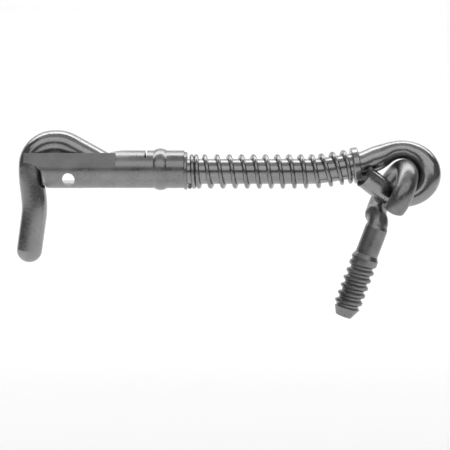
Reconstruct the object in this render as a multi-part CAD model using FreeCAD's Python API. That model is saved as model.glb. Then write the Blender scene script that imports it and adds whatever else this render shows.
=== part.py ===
import FreeCAD, Part
import math
import os

from FreeCAD import Placement, Rotation, Vector

# Spring-loaded gate hook with a screw eye linked through its own eye.
# Millimetres. +X runs along the bar from the hook to the eye, +Z is up and the hook's arm points down.
# The origin is the corner of the hook, where the axis of the shank crosses the axis of the arm.

# --- hook rod: one round bar bent into arm, hump, shank and eye ---
ROD_D = 10.0
ARM_TIP = (-2.0, -31.4)
ARM_KNEE = (0.6, -14.5)
ARM_TOP_X = -0.6
ARM_TOP_Z = -2.5
HUMP_Z = 11.4
HUMP_END_X = 12.6
HUMP_SLOPE_DEG = 29.0
ARM_BEND_R = 30.0
HUMP_BEND_R = 9.5
RISE_START_X = 113.0
RISE_BEND_R = 40.0
EYE_START_X = 131.5
EYE_START_Z = 2.9
EYE_START_R = 12.0
EYE_LEAD = 1.8
EYE_LAP = 1.5
EYE_FIT_LEN = 2.0
EYE_FIT_STEP = 0.04
EYE_THIN_AT = 0.66
EYE_THIN_D = 9.3

# --- eye of the hook rod: the bar goes once round an oval and its end lies in front of the shank ---
EYE_X = 146.4
EYE_Z = -0.75
EYE_HALF_X = 10.4
EYE_HALF_Z = 9.4
EYE_ENTRY_DEG = 22.0
EYE_EXIT_DEG = 39.0
EYE_TAIL_LEN = 11.2
EYE_TAIL_Y = -9.4
EYE_STEPS = 14
DRIFT_FROM = 5
EYE_TAIL_T = 9.0
EYE_TAIL_SHARES = (0.35, 0.7, 1.0)
EYE_TOP_T = 7.4
EYE_SIDE_T = 9.8
EYE_FOOT_T = 7.2

# --- keeper sleeve: pressed from sheet, a trough in front and a closed tube behind ---
SHEET_T = 1.2
SLEEVE_R = 7.5
SLEEVE_Z = 0.9
TROUGH_START_X = -2.4
TROUGH_FLOOR_X = 5.6
TUBE_START_X = 31.1
SLEEVE_END_X = 60.2
WALL_LEAN_DEG = 9.0
WALL_TOP_Z = 7.6
BACK_LIP_Z = -3.9
NOTCH_TOP_Z = 3.7
NOTCH_FOOT_Z = -2.4
PIN_HOLE_X = 14.9
PIN_HOLE_Z = -2.8
PIN_HOLE_R = 2.5
BEAD_X = 50.8
BEAD_W = 5.2
BEAD_H = 0.8
SLIT_X = 45.2
SLIT_W = 0.9
SLIT_DEPTH = 2.6
TUBE_LAP = 2.4
SHOULDER_AT = 1.0
SHOULDER_LEN = 12.0
SHOULDER_DROP = 0.55
SHOULDER_DEG = -9.0
NOTCH_BULGE_X = 0.68
NOTCH_BULGE_Z = 0.30

# --- thrust washer, compression spring and stop collar ---
WASHER_T = 1.2
WASHER_R = 7.5
WASHER_BORE_R = 5.65
WASHER_Z = 0.3
WASHER_CHAMFER = 0.2
WIRE_D = 1.7
COIL_R = 6.05
CLOSED_TURNS_LEFT = 2.0
CLOSED_TURNS_RIGHT = 0.75
ACTIVE_TURNS = 12.6
CLOSED_PITCH = 1.78
PITCH_TAPER = 0.06
SPRING_GAP = 0.05
COIL_STEPS = 16
COLLAR_T = 2.8
COLLAR_R = 7.2
COLLAR_BACK = 1.8
COLLAR_CHAMFER = 0.4

# --- screw eye: bar bent to a ring, with a wood-screw thread ---
RING_R = 10.6
RING_WIRE_D = 8.2
RING_DRIFT = 5.0
RING_RETURN = 3.4
RING_BACK = 1.5
RING_STEPS = 20
RING_NECK_R = 5.0
RING_END_DEG = 28.0
SCREW_LEAN_DEG = 20.0
SCREW_TURN_DEG = 4.0
RING_AT = Vector(141.2, -6.0, -8.2)
SHANK_D = 9.0
SHANK_LEN = 11.0
SHOULDER_CONE_LEN = 1.2
FUSE_LAP = 0.01
THREAD_LEN = 26.2
THREAD_D = 10.8
THREAD_CORE_D = 8.6
THREAD_PITCH = 3.2
THREAD_CREST = 0.8
THREAD_ROOT = 2.5
THREAD_SPARE = 0.3
THREAD_LEAD_IN = 1.2
THREAD_TOP = 1.6
THREAD_PHASE_DEG = 37.0
TIP_TAPER = 4.6
TIP_D = 6.4
RUNOUT_TURNS = 0.9
THREAD_STEPS = 24

ROD_R = ROD_D / 2.0
RING_WIRE_R = RING_WIRE_D / 2.0
Y_AXIS = Vector(0, 1, 0)
Z_AXIS = Vector(0, 0, 1)
X_AXIS = Vector(1, 0, 0)


def unit(v):
    """A copy of v with length 1."""
    return Vector(v) / v.Length


def rounded_path(points, radii):
    """A wire through points whose inner corners are tangent arcs with the given radii."""
    edges = []
    here = points[0]
    for before, corner, after, radius in zip(points, points[1:], points[2:], radii):
        back = unit(before - corner)
        ahead = unit(after - corner)
        half_turn = (math.pi - back.getAngle(ahead)) / 2.0
        reach = radius * math.tan(half_turn)
        start = corner + back * reach
        end = corner + ahead * reach
        middle_way = unit(back + ahead)
        middle = corner + middle_way * (radius / math.cos(half_turn) - radius)
        if (start - here).Length > 1e-6:
            edges.append(Part.LineSegment(here, start).toShape())
        edges.append(Part.Arc(start, middle, end).toShape())
        here = end
    edges.append(Part.LineSegment(here, points[-1]).toShape())
    return Part.Wire(edges)


def round_pipe(path, radius):
    """A round bar along a wire."""
    first = path.OrderedEdges[0]
    start = first.valueAt(first.FirstParameter)
    heading = first.tangentAt(first.FirstParameter)
    section = Part.Wire(Part.makeCircle(radius, start, heading))
    return path.makePipeShell([section], True, True)


def in_plane(x, z):
    """A point in the plane of the hook."""
    return Vector(x, 0, z)


def eye_entry():
    """The point where the bar meets the oval of the eye."""
    turn = math.radians(90.0 + EYE_ENTRY_DEG)
    return in_plane(EYE_X + EYE_HALF_X * math.cos(turn), EYE_Z + EYE_HALF_Z * math.sin(turn))


def eye_lead():
    """The heading of the bar from the end of its rise to the oval of the eye."""
    return unit(eye_entry() - in_plane(EYE_START_X, EYE_START_Z))


def hook_corners():
    """The corners of the rod's centre line from the arm's tip to the start of the eye."""
    slope = math.tan(math.radians(HUMP_SLOPE_DEG))
    shank_start_x = HUMP_END_X + HUMP_Z / slope
    corners = [
        (ARM_TIP, None),
        (ARM_KNEE, ARM_BEND_R),
        ((ARM_TOP_X, ARM_TOP_Z), ARM_BEND_R),
        ((ARM_TOP_X, HUMP_Z), HUMP_BEND_R),
        ((HUMP_END_X, HUMP_Z), HUMP_BEND_R),
        ((shank_start_x, 0.0), HUMP_BEND_R),
        ((RISE_START_X, 0.0), RISE_BEND_R),
        ((EYE_START_X, EYE_START_Z), EYE_START_R),
    ]
    points = [in_plane(*place) for place, _ in corners]
    radii = [radius for _, radius in corners if radius]
    points.append(points[-1] + eye_lead() * (EYE_LEAD + EYE_LAP))
    return points, radii


def eye_stations():
    """Centre in the hook's plane and thickness of the bar at stations round the eye, in order."""
    entry = math.radians(90.0 + EYE_ENTRY_DEG)
    leave = math.radians(-90.0 - EYE_EXIT_DEG)
    oval = []
    for k in range(EYE_STEPS + 1):
        turn = entry + (leave - entry) * k / EYE_STEPS
        lift = math.sin(turn)
        top_or_foot = EYE_TOP_T if lift > 0 else EYE_FOOT_T
        thickness = EYE_SIDE_T + (top_or_foot - EYE_SIDE_T) * lift * lift
        oval.append((in_plane(EYE_X + EYE_HALF_X * math.cos(turn), EYE_Z + EYE_HALF_Z * lift), thickness))
    lead = in_plane(EYE_START_X, EYE_START_Z)
    lead_in = eye_entry() - lead
    away = in_plane(EYE_HALF_X * math.sin(leave), -EYE_HALF_Z * math.cos(leave))
    entry_line = [
        (lead + eye_lead() * EYE_LEAD, ROD_D - EYE_FIT_STEP),
        (lead + eye_lead() * (EYE_LEAD + EYE_FIT_LEN), ROD_D - 1.5 * EYE_FIT_STEP),
        (lead + lead_in * EYE_THIN_AT, EYE_THIN_D),
    ]
    tail = [(oval[-1][0] + unit(away) * EYE_TAIL_LEN * share, EYE_TAIL_T) for share in EYE_TAIL_SHARES]
    return entry_line + oval + tail


def eye_loop():
    """The bar's turn round the eye, which drifts towards the front so that its end clears the shank."""
    stations = eye_stations()
    lengths = [0.0]
    for (before, _), (after, _) in zip(stations, stations[1:]):
        lengths.append(lengths[-1] + (after - before).Length)
    drift_start = lengths[DRIFT_FROM]
    drift_span = lengths[-1] - drift_start
    centres = []
    for (centre, _), length in zip(stations, lengths):
        share = max(0.0, (length - drift_start) / drift_span)
        centres.append(centre + Vector(0, EYE_TAIL_Y * share, 0))
    curve = Part.BSplineCurve()
    curve.interpolate(Points=centres)
    shell = Part.BRepOffsetAPI.MakePipeShell(Part.Wire(curve.toShape()))
    shell.setFrenetMode(False)
    shell.setBiNormalMode(Y_AXIS)
    for centre, (_, thickness) in zip(centres, stations):
        heading = unit(curve.tangent(curve.parameter(centre))[0])
        across = unit(heading.cross(Y_AXIS))
        side = unit(heading.cross(across))
        circle = Part.makeCircle(thickness / 2.0)
        circle.Placement = Placement(centre, Rotation(across, side, heading, "ZXY"))
        shell.add(Part.Wire(circle), False, False)
    shell.build()
    shell.makeSolid()
    return shell.shape()


def make_hook_rod():
    """Arm, hump and shank as one bent bar, with a domed tip, running into the eye."""
    points, radii = hook_corners()
    bar = round_pipe(rounded_path(points, radii), ROD_R)
    tip = Part.makeSphere(ROD_R, points[0])
    return bar.fuse([tip, eye_loop()]).removeSplitter()


def trough_section():
    """The trough across X: half-round floor, front wall leaning in, low lip at the back."""
    lean = math.radians(WALL_LEAN_DEG)
    outer, inner = SLEEVE_R, SLEEVE_R - SHEET_T

    def on_circle(radius, angle):
        return Vector(0, radius * math.cos(angle), SLEEVE_Z + radius * math.sin(angle))

    def wall_top(radius):
        foot = on_circle(radius, math.pi - lean)
        rise = WALL_TOP_Z - foot.z
        return Vector(0, foot.y + rise * math.tan(lean), WALL_TOP_Z)

    def lip_angle(radius):
        return math.asin((BACK_LIP_Z - SLEEVE_Z) / radius)

    def floor_arc(radius):
        start = on_circle(radius, math.pi - lean)
        end = on_circle(radius, lip_angle(radius))
        return start, on_circle(radius, -math.pi / 2.0), end

    outer_start, outer_low, outer_end = floor_arc(outer)
    inner_start, inner_low, inner_end = floor_arc(inner)
    edges = [
        Part.LineSegment(wall_top(outer), outer_start).toShape(),
        Part.Arc(outer_start, outer_low, outer_end).toShape(),
        Part.LineSegment(outer_end, inner_end).toShape(),
        Part.Arc(inner_end, inner_low, inner_start).toShape(),
        Part.LineSegment(inner_start, wall_top(inner)).toShape(),
        Part.LineSegment(wall_top(inner), wall_top(outer)).toShape(),
    ]
    return Part.Face(Part.Wire(edges))


def notch_cutter():
    """The space that the arm passes through: everything below and left of a hollow curve."""
    far = 2.0 * SLEEVE_R
    low = -far
    left = TROUGH_START_X - far
    start = in_plane(TROUGH_START_X, NOTCH_TOP_Z)
    end = in_plane(TROUGH_FLOOR_X, NOTCH_FOOT_Z)
    bulge = in_plane(
        TROUGH_START_X + NOTCH_BULGE_X * (TROUGH_FLOOR_X - TROUGH_START_X),
        NOTCH_TOP_Z - NOTCH_BULGE_Z * (NOTCH_TOP_Z - NOTCH_FOOT_Z),
    )
    edges = [
        Part.LineSegment(in_plane(left, NOTCH_TOP_Z), start).toShape(),
        Part.Arc(start, bulge, end).toShape(),
        Part.LineSegment(end, in_plane(TROUGH_FLOOR_X, low)).toShape(),
        Part.LineSegment(in_plane(TROUGH_FLOOR_X, low), in_plane(left, low)).toShape(),
        Part.LineSegment(in_plane(left, low), in_plane(left, NOTCH_TOP_Z)).toShape(),
    ]
    face = Part.Face(Part.Wire(edges))
    face.translate(Vector(0, -far, 0))
    return face.extrude(Vector(0, 2.0 * far, 0))


def tube_profile():
    """Half section of the closed tube with its rolled bead, in the XZ plane, about the sleeve's axis."""
    half = BEAD_W / 2.0

    def edge_line(radius):
        before = in_plane(BEAD_X - half, radius)
        crown = in_plane(BEAD_X, radius + BEAD_H)
        after = in_plane(BEAD_X + half, radius)
        return before, crown, after

    outer, inner = SLEEVE_R, SLEEVE_R - SHEET_T
    o_before, o_crown, o_after = edge_line(outer)
    i_before, i_crown, i_after = edge_line(inner)
    edges = [
        Part.LineSegment(in_plane(TUBE_START_X, outer), o_before).toShape(),
        Part.Arc(o_before, o_crown, o_after).toShape(),
        Part.LineSegment(o_after, in_plane(SLEEVE_END_X, outer)).toShape(),
        Part.LineSegment(in_plane(SLEEVE_END_X, outer), in_plane(SLEEVE_END_X, inner)).toShape(),
        Part.LineSegment(in_plane(SLEEVE_END_X, inner), i_after).toShape(),
        Part.Arc(i_after, i_crown, i_before).toShape(),
        Part.LineSegment(i_before, in_plane(TUBE_START_X, inner)).toShape(),
        Part.LineSegment(in_plane(TUBE_START_X, inner), in_plane(TUBE_START_X, outer)).toShape(),
    ]
    return Part.Face(Part.Wire(edges))


def make_keeper_sleeve():
    """Trough and tube of one pressed sheet, with the arm's notch, a pin hole, a bead and a relief slit."""
    trough = trough_section()
    trough.translate(Vector(TROUGH_START_X, 0, 0))
    trough = trough.extrude(Vector(TUBE_START_X + TUBE_LAP - TROUGH_START_X, 0, 0))
    trough = trough.cut(notch_cutter())
    hole_from = Vector(PIN_HOLE_X, -2.0 * SLEEVE_R, PIN_HOLE_Z)
    hole = Part.makeCylinder(PIN_HOLE_R, 2.0 * SLEEVE_R, hole_from, Y_AXIS)
    trough = trough.cut(hole)
    tube = tube_profile().revolve(Vector(0, 0, 0), X_AXIS, 360)
    tube.translate(Vector(0, 0, SLEEVE_Z))
    crown_z = SLEEVE_Z + SLEEVE_R
    slit = Part.makeBox(SLIT_W, 4 * SLEEVE_R, 2 * SLIT_DEPTH)
    slit.translate(Vector(SLIT_X - SLIT_W / 2.0, -2 * SLEEVE_R, crown_z - SLIT_DEPTH))
    shoulder = Part.makeBox(SHOULDER_LEN, 4 * SLEEVE_R, SLEEVE_R)
    shoulder.translate(Vector(-SHOULDER_LEN / 2.0, -2 * SLEEVE_R, 0))
    slope_at = Vector(TUBE_START_X + SHOULDER_AT, 0, crown_z - SHOULDER_DROP)
    shoulder.Placement = Placement(slope_at, Rotation(Y_AXIS, SHOULDER_DEG)).multiply(shoulder.Placement)
    tube = tube.cut(slit).cut(shoulder)
    return trough.fuse(tube).removeSplitter()


def make_thrust_washer():
    """The washer between the sleeve's end and the spring."""
    at = Vector(SLEEVE_END_X, 0, WASHER_Z)
    disc = Part.makeCylinder(WASHER_R, WASHER_T, at, X_AXIS)
    bore = Part.makeCylinder(WASHER_BORE_R, WASHER_T, at, X_AXIS)
    rims = [edge for edge in disc.Edges if isinstance(edge.Curve, Part.Circle)]
    return disc.makeChamfer(WASHER_CHAMFER, rims).cut(bore)


def shank_axis(length):
    """Point and heading on the rod's axis, length millimetres past the washer, over the rise to the eye."""
    start_x = SLEEVE_END_X + WASHER_T
    rise = math.atan2(EYE_START_Z, EYE_START_X - RISE_START_X)
    reach = RISE_BEND_R * math.tan(rise / 2.0)
    straight = RISE_START_X - reach - start_x
    if length <= straight:
        return in_plane(start_x + length, 0), Vector(X_AXIS)
    bent = length - straight
    arc = RISE_BEND_R * rise
    turn = min(bent, arc) / RISE_BEND_R
    heading = in_plane(math.cos(turn), math.sin(turn))
    point = in_plane(start_x + straight + RISE_BEND_R * math.sin(turn), RISE_BEND_R * (1 - math.cos(turn)))
    return point + heading * max(0.0, bent - arc), heading


def collar_face_length():
    """Distance along the rod's axis from the washer to the near face of the collar."""
    rise = math.atan2(EYE_START_Z, EYE_START_X - RISE_START_X)
    reach = RISE_BEND_R * math.tan(rise / 2.0)
    slope_length = math.hypot(EYE_START_X - RISE_START_X, EYE_START_Z)
    straight = RISE_START_X - reach - SLEEVE_END_X - WASHER_T
    return straight + RISE_BEND_R * rise + slope_length - reach - COLLAR_BACK - COLLAR_T


def make_compression_spring():
    """Round wire coiled about the rod's axis, closed at both ends, following the rod's rise."""
    room = collar_face_length() - WIRE_D - 2 * SPRING_GAP
    closed = (CLOSED_TURNS_LEFT + CLOSED_TURNS_RIGHT) * CLOSED_PITCH
    pitch = (room - closed) / ACTIVE_TURNS
    turns = CLOSED_TURNS_LEFT + ACTIVE_TURNS + CLOSED_TURNS_RIGHT

    def advance(turn):
        first = min(turn, CLOSED_TURNS_LEFT)
        middle = min(max(turn - CLOSED_TURNS_LEFT, 0.0), ACTIVE_TURNS)
        last = max(turn - CLOSED_TURNS_LEFT - ACTIVE_TURNS, 0.0)
        eased = middle * (1.0 + PITCH_TAPER * (1.0 - middle / ACTIVE_TURNS))
        return (first + last) * CLOSED_PITCH + eased * pitch

    points = []
    for k in range(int(turns * COIL_STEPS) + 1):
        turn = k / COIL_STEPS
        soft = sum(advance(min(max(turn + d, 0.0), turns)) for d in (-0.2, -0.1, 0.0, 0.1, 0.2)) / 5.0
        centre, heading = shank_axis(WIRE_D / 2.0 + SPRING_GAP + soft)
        up = unit(Y_AXIS.cross(heading)) * -1.0
        angle = 2.0 * math.pi * turn
        points.append(centre - up * (COIL_R * math.cos(angle)) + Y_AXIS * (COIL_R * math.sin(angle)))
    curve = Part.BSplineCurve()
    curve.interpolate(Points=points)
    path = Part.Wire(curve.toShape())
    return round_pipe(path, WIRE_D / 2.0)


def make_stop_collar():
    """The ring pressed on the rod that the spring pushes against."""
    face, heading = shank_axis(collar_face_length())
    disc = Part.makeCylinder(COLLAR_R, COLLAR_T, face, heading)
    rims = [edge for edge in disc.Edges if isinstance(edge.Curve, Part.Circle)]
    disc = disc.makeChamfer(COLLAR_CHAMFER, rims)
    bore = Part.makeCylinder(ROD_R, 3 * COLLAR_T, face - heading * COLLAR_T, heading)
    return disc.cut(bore)


def screw_ring():
    """The ring and its neck, about the ring's centre, with the shank below on Z.

    The bar drifts along X as it goes round, from the shank at the back to its cut end at the front.
    """
    lift = math.sqrt(RING_R * RING_R + 2.0 * RING_R * RING_NECK_R)
    neck_centre = Vector(0, RING_NECK_R, -lift)
    joint = neck_centre * (RING_R / (RING_NECK_R + RING_R))
    neck_span = math.atan2(lift, RING_NECK_R)
    points = [Vector(0, 0, -lift - 1.0)]
    for share in (0.0, 0.33, 0.67):
        turn = math.pi - neck_span * share
        aside = -RING_BACK * share * share
        points.append(neck_centre + Vector(aside, RING_NECK_R * math.cos(turn), RING_NECK_R * math.sin(turn)))
    start_angle = math.atan2(joint.z, joint.y)
    end_angle = math.radians(180.0 + RING_END_DEG)
    for k in range(RING_STEPS + 1):
        share = k / RING_STEPS
        turn = start_angle + (end_angle - start_angle) * share
        aside = RING_DRIFT * share - RING_RETURN * share ** 4 - RING_BACK * (1.0 - share) ** 2
        points.append(Vector(aside, RING_R * math.cos(turn), RING_R * math.sin(turn)))
    curve = Part.BSplineCurve()
    curve.interpolate(Points=points)
    section = Part.makeCircle(RING_WIRE_R, points[0], curve.tangent(curve.FirstParameter)[0])
    shell = Part.BRepOffsetAPI.MakePipeShell(Part.Wire(curve.toShape()))
    shell.setBiNormalMode(X_AXIS)
    shell.add(Part.Wire(section), False, False)
    shell.build()
    shell.makeSolid()
    return shell.shape(), lift


def turned_away(corners):
    """The ring of material outside a turned outline, from its radius and height corners."""
    points = [Vector(radius, 0, height) for radius, height in corners]
    points.append(points[0])
    return Part.Face(Part.makePolygon(points)).revolve(Vector(0, 0, 0), Z_AXIS, 360)


def thread_groove(foot_z):
    """The helical groove between the thread's crests; it starts below the tip and runs out at the top."""
    major, core = THREAD_D / 2.0, THREAD_CORE_D / 2.0
    depth = major - core
    start_z = foot_z - THREAD_LEAD_IN * THREAD_PITCH
    turns = (THREAD_LEN - THREAD_TOP) / THREAD_PITCH + THREAD_LEAD_IN
    steps = int(turns * THREAD_STEPS)
    phase = math.radians(THREAD_PHASE_DEG)
    path = []
    for k in range(steps + 1):
        turn = turns * k / steps
        lift = max(0.0, 1.0 - (turns - turn) / RUNOUT_TURNS) * (depth + THREAD_SPARE)
        angle = 2.0 * math.pi * turn + phase
        x, y = (core + lift) * math.cos(angle), (core + lift) * math.sin(angle)
        path.append(Vector(x, y, start_z + turn * THREAD_PITCH))
    curve = Part.BSplineCurve()
    curve.interpolate(Points=path)
    out = Vector(math.cos(phase), math.sin(phase), 0)
    flank = (THREAD_ROOT - THREAD_CREST) / 2.0 / depth
    half_floor = Z_AXIS * ((THREAD_PITCH - THREAD_ROOT) / 2.0)
    half_mouth = Z_AXIS * ((THREAD_PITCH - THREAD_CREST) / 2.0 + flank * THREAD_SPARE)
    floor = path[0]
    mouth = path[0] + out * (depth + THREAD_SPARE)
    corners = [floor - half_floor, mouth - half_mouth, mouth + half_mouth, floor + half_floor]
    corners.append(corners[0])
    shell = Part.BRepOffsetAPI.MakePipeShell(Part.Wire(curve.toShape()))
    shell.setBiNormalMode(Z_AXIS)
    shell.add(Part.makePolygon(corners), False, False)
    shell.build()
    shell.makeSolid()
    return shell.shape()


def screw_thread(top_z):
    """The threaded length running down from top_z, with full crests, a coned top and a tapered tip."""
    foot_z = top_z - THREAD_LEN
    major = THREAD_D / 2.0
    far = 2.0 * major
    blank = Part.makeCylinder(major, THREAD_LEN, Vector(0, 0, foot_z))
    threaded = blank.cut(thread_groove(foot_z))
    around_tip = turned_away([
        (TIP_D / 2.0, foot_z - 1.0),
        (TIP_D / 2.0, foot_z),
        (major, foot_z + TIP_TAPER),
        (far, foot_z + TIP_TAPER),
        (far, foot_z - 1.0),
    ])
    around_top = turned_away([
        (SHANK_D / 2.0, top_z + 1.0),
        (SHANK_D / 2.0, top_z),
        (major, top_z - THREAD_TOP),
        (far, top_z - THREAD_TOP),
        (far, top_z + 1.0),
    ])
    return threaded.cut(around_tip).cut(around_top)


def make_screw_eye():
    """Ring, plain shank and wood-screw thread, placed through the hook's eye."""
    ring, lift = screw_ring()
    top_z = -lift
    shank = Part.makeCylinder(SHANK_D / 2.0, SHANK_LEN, Vector(0, 0, top_z - SHANK_LEN))
    cone = Part.makeCone(SHANK_D / 2.0, RING_WIRE_R, SHOULDER_CONE_LEN, Vector(0, 0, top_z))
    thread = screw_thread(top_z - SHANK_LEN + FUSE_LAP)
    screw = ring.fuse([shank, cone]).fuse(thread).removeSplitter()
    turn = Rotation(Z_AXIS, SCREW_TURN_DEG)
    lean = Rotation(Y_AXIS, SCREW_LEAN_DEG)
    screw.Placement = Placement(RING_AT, lean.multiply(turn))
    return screw


MAKERS = {
    "hook_rod": make_hook_rod,
    "keeper_sleeve": make_keeper_sleeve,
    "thrust_washer": make_thrust_washer,
    "compression_spring": make_compression_spring,
    "stop_collar": make_stop_collar,
    "screw_eye": make_screw_eye,
}

os.makedirs("parts", exist_ok=True)
for name, maker in MAKERS.items():
    shape = maker()
    shape.exportStep(f"parts/{name}.step")
    print(name, "valid", shape.isValid(), "solids", len(shape.Solids), "volume", round(shape.Volume, 1))
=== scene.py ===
import math

import bpy
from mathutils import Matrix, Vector


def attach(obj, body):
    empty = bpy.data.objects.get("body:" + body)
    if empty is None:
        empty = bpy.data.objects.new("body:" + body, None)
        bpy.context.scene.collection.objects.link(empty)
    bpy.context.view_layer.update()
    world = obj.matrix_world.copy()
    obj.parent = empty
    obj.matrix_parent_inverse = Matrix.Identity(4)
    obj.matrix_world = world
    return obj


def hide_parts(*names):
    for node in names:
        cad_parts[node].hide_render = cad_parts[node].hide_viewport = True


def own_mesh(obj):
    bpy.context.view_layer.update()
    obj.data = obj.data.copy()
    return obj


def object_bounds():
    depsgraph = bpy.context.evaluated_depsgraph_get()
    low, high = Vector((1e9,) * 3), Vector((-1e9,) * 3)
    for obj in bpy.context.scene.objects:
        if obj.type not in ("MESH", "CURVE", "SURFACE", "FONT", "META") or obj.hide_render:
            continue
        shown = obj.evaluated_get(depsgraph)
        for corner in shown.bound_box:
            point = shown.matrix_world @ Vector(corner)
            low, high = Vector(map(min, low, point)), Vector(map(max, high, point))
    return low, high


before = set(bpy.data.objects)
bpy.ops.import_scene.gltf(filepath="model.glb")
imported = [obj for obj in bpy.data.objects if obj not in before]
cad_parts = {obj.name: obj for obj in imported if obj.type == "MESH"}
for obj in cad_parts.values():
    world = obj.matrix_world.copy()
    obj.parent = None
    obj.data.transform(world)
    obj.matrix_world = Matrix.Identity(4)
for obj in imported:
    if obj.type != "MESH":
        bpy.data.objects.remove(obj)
packed_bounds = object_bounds()
scene = bpy.context.scene

# Lengths are in metres, light in watts. The part's box and centre set where the studio stands.
low_corner, high_corner = (Vector(corner) for corner in packed_bounds)
centre = (low_corner + high_corner) / 2.0

# --- zinc plate, the same on every piece ---
CLOUD_SCALE = 90.0
SPOT_SCALE = 420.0
SPOT_EDGE = (0.05, 0.22)
DULL_SPOT = (0.62, 0.62, 0.61, 1.0)
TONE_STOPS = (0.30, 0.68)
TONE_LIFT = 1.06
GLOSS_CLOUD = (0.28, 0.72)
GLOSS_SPREAD = (0.65, 1.5)
SPOT_ROUGHER = 0.25
RELIEF_DEPTH = 0.0002

# --- studio ---
PAPER = (0.9, 0.9, 0.9, 1)
WHITE = (1, 1, 1, 1)
WORLD_LIGHT = 0.16
WORLD_SEEN = 0.9
FLOOR_DROP = 0.06
FLOOR_FRONT = -1.25
BEND_START = 0.7
BEND_R = 0.5
BEND_STEPS = 16
WALL_TOP = 2.4
HALF_WIDTH = 2.0

# --- camera: PIXEL is the width of one of the frame's 450 pixels at the part ---
LENS = 85.0
SENSOR = 36.0
ELEVATION_DEG = 6.0
PIXEL = 0.0004
FRAME_PIXELS = 450
AIM = Vector((191 * PIXEL, 0.0, -53.5 * PIXEL))


# ---------------------------------------------------------------- materials
def node(tree, kind, inputs=None, **settings):
    """A new node with its settings and the values of its unlinked sockets."""
    made = tree.nodes.new(kind)
    for name, value in settings.items():
        setattr(made, name, value)
    for name, value in (inputs or {}).items():
        made.inputs[name].default_value = value
    return made


def map_range(tree, source, low, high):
    """A node that maps the range source to the range from low to high."""
    return node(tree, "ShaderNodeMapRange", {
        "From Min": source[0],
        "From Max": source[1],
        "To Min": low,
        "To Max": high,
    })


def zinc(name, base, rough, wear, grain, bump, tarnish):
    """Bright zinc plate: mottled tone and roughness, fine grain and dull wear spots."""
    made = bpy.data.materials.new(name)
    made.use_nodes = True
    tree = made.node_tree
    shader = tree.nodes["Principled BSDF"]
    shader.inputs["Metallic"].default_value = 1.0
    link = tree.links.new
    place = node(tree, "ShaderNodeTexCoord")
    cloud = node(tree, "ShaderNodeTexNoise", {"Scale": CLOUD_SCALE, "Detail": 6.0, "Roughness": 0.62})
    fine = node(tree, "ShaderNodeTexNoise", {"Scale": grain, "Detail": 4.0})
    spots = node(tree, "ShaderNodeTexVoronoi", {"Scale": SPOT_SCALE})
    for pattern in (cloud, fine, spots):
        link(place.outputs["Object"], pattern.inputs["Vector"])
    spot_mask = map_range(tree, SPOT_EDGE, 1.0, 0.0)
    link(spots.outputs["Distance"], spot_mask.inputs["Value"])

    # tone: two greys by the clouds, darker in the wear spots
    tone = node(tree, "ShaderNodeValToRGB")
    dark = tuple(c * tarnish for c in base)
    light = tuple(min(1.0, c * TONE_LIFT) for c in base)
    for stop, position, grey in zip(tone.color_ramp.elements, TONE_STOPS, (dark, light)):
        stop.position = position
        stop.color = (*grey, 1.0)
    link(cloud.outputs["Fac"], tone.inputs["Fac"])
    dull = node(tree, "ShaderNodeMix", {"B": DULL_SPOT}, data_type="RGBA", blend_type="MULTIPLY")
    dull_by = node(tree, "ShaderNodeMath", {1: wear}, operation="MULTIPLY")
    link(spot_mask.outputs["Result"], dull_by.inputs[0])
    link(dull_by.outputs["Value"], dull.inputs["Factor"])
    link(tone.outputs["Color"], dull.inputs["A"])
    link(dull.outputs["Result"], shader.inputs["Base Color"])

    # roughness: by the clouds, rougher in the wear spots
    gloss = map_range(tree, GLOSS_CLOUD, rough * GLOSS_SPREAD[0], rough * GLOSS_SPREAD[1])
    link(cloud.outputs["Fac"], gloss.inputs["Value"])
    gloss_spots = node(tree, "ShaderNodeMath", {1: wear * SPOT_ROUGHER}, operation="MULTIPLY_ADD")
    link(spot_mask.outputs["Result"], gloss_spots.inputs[0])
    link(gloss.outputs["Result"], gloss_spots.inputs[2])
    link(gloss_spots.outputs["Value"], shader.inputs["Roughness"])

    # relief: the fine grain over the clouds
    heights = node(tree, "ShaderNodeMath", {1: 0.5}, operation="MULTIPLY_ADD")
    link(cloud.outputs["Fac"], heights.inputs[0])
    link(fine.outputs["Fac"], heights.inputs[2])
    relief = node(tree, "ShaderNodeBump", {"Strength": bump, "Distance": RELIEF_DEPTH})
    link(heights.outputs["Value"], relief.inputs["Height"])
    link(relief.outputs["Normal"], shader.inputs["Normal"])
    return made


ROD = zinc("zinc_rod", (0.34, 0.34, 0.345), 0.19, 0.5, 900.0, 0.16, 0.78)
SHEET = zinc("zinc_sheet", (0.30, 0.30, 0.305), 0.27, 0.4, 1400.0, 0.12, 0.76)
SPRING = zinc("zinc_spring", (0.31, 0.31, 0.31), 0.22, 0.3, 1200.0, 0.10, 0.76)
SCREW = zinc("zinc_screw", (0.28, 0.28, 0.285), 0.28, 0.6, 1100.0, 0.25, 0.70)


# ---------------------------------------------------------------- pieces over the frame
LOOKS = {
    "hook_rod": ROD,
    "stop_collar": ROD,
    "keeper_sleeve": SHEET,
    "thrust_washer": SHEET,
    "screw_eye": SCREW,
}


def dress(piece, material):
    """The piece gets its material; its mesh and place stay as they are."""
    piece.data.materials.clear()
    piece.data.materials.append(material)


for name, material in LOOKS.items():
    dress(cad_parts[name], material)

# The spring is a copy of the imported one, because it shortens as the sleeve slides.
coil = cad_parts["compression_spring"]
spring = bpy.data.objects.new("spring_coil", coil.data.copy())
scene.collection.objects.link(spring)
spring.matrix_world = coil.matrix_world.copy()
dress(spring, SPRING)
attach(spring, "hook")
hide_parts("compression_spring")
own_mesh(spring)


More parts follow.
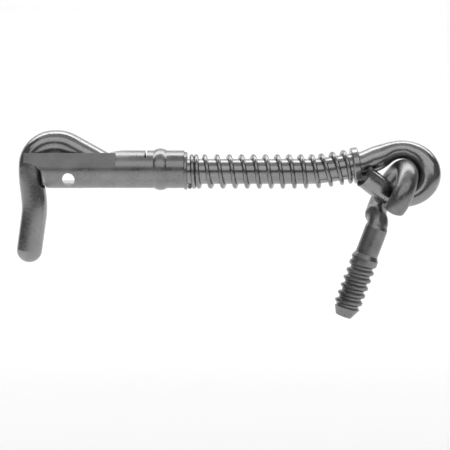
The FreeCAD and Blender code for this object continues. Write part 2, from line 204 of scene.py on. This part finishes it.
# ---------------------------------------------------------------- stage, light, camera
def sweep_stage(floor_z):
    """A pale floor that bends up into a pale wall behind."""
    profile = [(FLOOR_FRONT, floor_z), (BEND_START, floor_z)]
    for k in range(1, BEND_STEPS + 1):
        turn = math.pi / 2.0 * k / BEND_STEPS
        y = BEND_START + BEND_R * math.sin(turn)
        profile.append((y, floor_z + BEND_R * (1.0 - math.cos(turn))))
    profile.append((BEND_START + BEND_R, WALL_TOP))
    verts = [(x, y, z) for y, z in profile for x in (-HALF_WIDTH, HALF_WIDTH)]
    faces = [(2 * k, 2 * k + 1, 2 * k + 3, 2 * k + 2) for k in range(len(profile) - 1)]
    mesh = bpy.data.meshes.new("studio_sweep")
    mesh.from_pydata(verts, [], faces)
    mesh.shade_smooth()
    made = bpy.data.objects.new("studio_sweep", mesh)
    scene.collection.objects.link(made)
    return made


floor = sweep_stage(low_corner.z - FLOOR_DROP)
paper = bpy.data.materials.new("paper")
paper.use_nodes = True
paper_shader = paper.node_tree.nodes["Principled BSDF"]
paper_shader.inputs["Base Color"].default_value = PAPER
paper_shader.inputs["Roughness"].default_value = 0.95
paper_shader.inputs["Specular IOR Level"].default_value = 0.1
floor.data.materials.append(paper)

# The world lights the part dimly, and shows the camera a pale surrounding past the floor's edge.
world = bpy.data.worlds.new("studio")
scene.world = world
world.use_nodes = True
sky = world.node_tree
lit_by = sky.nodes["Background"]
lit_by.inputs["Color"].default_value = WHITE
lit_by.inputs["Strength"].default_value = WORLD_LIGHT
backdrop = node(sky, "ShaderNodeBackground", {"Color": WHITE, "Strength": WORLD_SEEN})
seen = node(sky, "ShaderNodeLightPath")
either = node(sky, "ShaderNodeMixShader")
sky.links.new(seen.outputs["Is Camera Ray"], either.inputs["Fac"])
sky.links.new(lit_by.outputs["Background"], either.inputs[1])
sky.links.new(backdrop.outputs["Background"], either.inputs[2])
sky.links.new(either.outputs["Shader"], sky.nodes["World Output"].inputs["Surface"])
scene.view_settings.view_transform = "Standard"


def softbox(name, where, aim, width, depth, power):
    """A rectangular soft light at where, turned to aim."""
    lamp = bpy.data.lights.new(name, "AREA")
    lamp.shape = "RECTANGLE"
    lamp.size = width
    lamp.size_y = depth
    lamp.energy = power
    made = bpy.data.objects.new(name, lamp)
    scene.collection.objects.link(made)
    made.location = where
    made.rotation_euler = (Vector(aim) - Vector(where)).to_track_quat("-Z", "Y").to_euler()


softbox("wall_wash", (0.08, 0.35, 1.35), (0.08, 1.25, 0.25), 3.0, 0.5, 16.5)
softbox("floor_wash", (0.08, 0.55, 1.0), (0.08, 0.42, -0.1), 3.0, 0.3, 8.0)
softbox("front_strip", centre + Vector((0.0, -0.80, 0.42)), centre, 1.6, 0.30, 1.3)
softbox("front_floor_wash", (0.08, -0.95, 0.9), (0.08, -0.95, -0.1), 3.0, 0.5, 4.5)
softbox("top_soft", centre + Vector((0.0, -0.12, 0.75)), centre, 1.2, 0.9, 1.0)

camera = bpy.data.objects.new("camera", bpy.data.cameras.new("camera"))
scene.collection.objects.link(camera)
camera.data.lens = LENS
camera.data.sensor_width = SENSOR
elevation = math.radians(ELEVATION_DEG)
distance = FRAME_PIXELS * PIXEL / 2.0 / math.tan(camera.data.angle / 2.0)
camera.location = AIM + Vector((0, -math.cos(elevation), math.sin(elevation))) * distance
camera.rotation_euler = (AIM - camera.location).to_track_quat("-Z", "Y").to_euler()
scene.camera = camera
